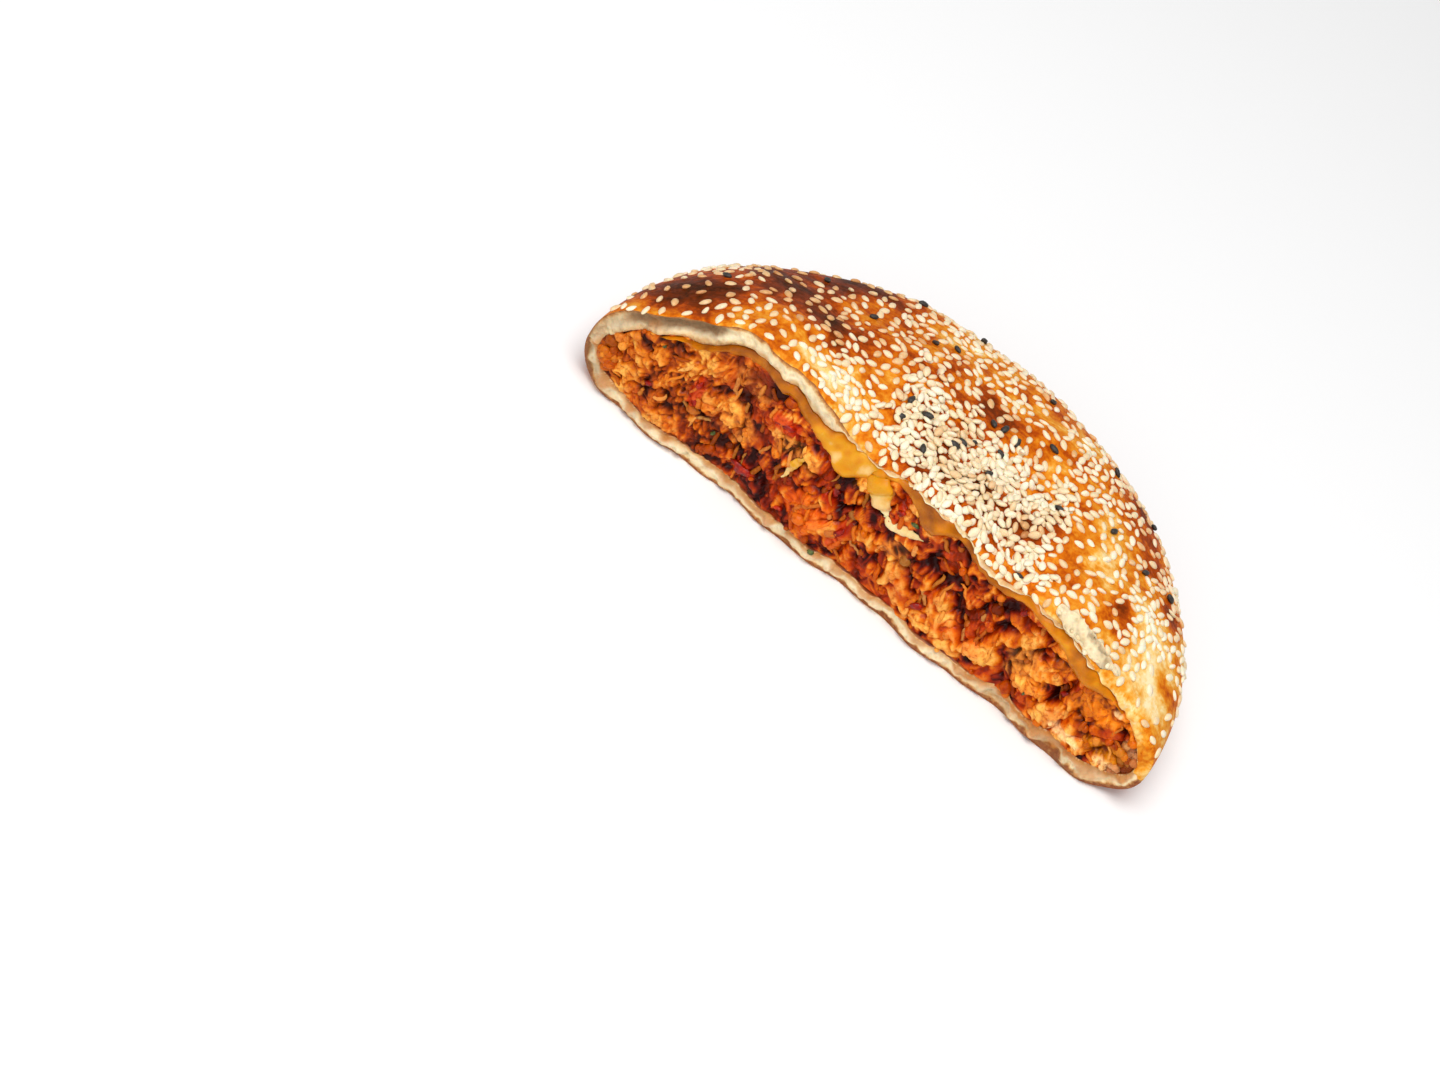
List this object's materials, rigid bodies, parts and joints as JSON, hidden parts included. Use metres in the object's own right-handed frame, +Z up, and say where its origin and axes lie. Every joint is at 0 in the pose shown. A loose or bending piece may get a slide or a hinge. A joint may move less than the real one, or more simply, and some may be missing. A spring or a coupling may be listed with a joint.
{
  "type": "half of a filled flatbread pie",
  "caption": "Half of a round seeded flatbread pie, cut straight across to show melted cheese over an egg and tomato filling.",
  "frame": {"origin": "under the middle of the half pie, on the surface that its flat base rests on", "axes": "+X along the cut, to the right as the cut is faced; -Y out of the cut face; +Z up through the domed crust"},
  "size_m": [0.176, 0.0879, 0.0466],
  "materials": {
    "baked_bread": "satin",
    "melted_cheese": "glossy",
    "egg_and_tomato": "moist"
  },
  "bodies": {
    "root": {"bread": "baked_bread", "melted_cheese": "melted_cheese", "filling": "egg_and_tomato"}
  },
  "joints": []
}
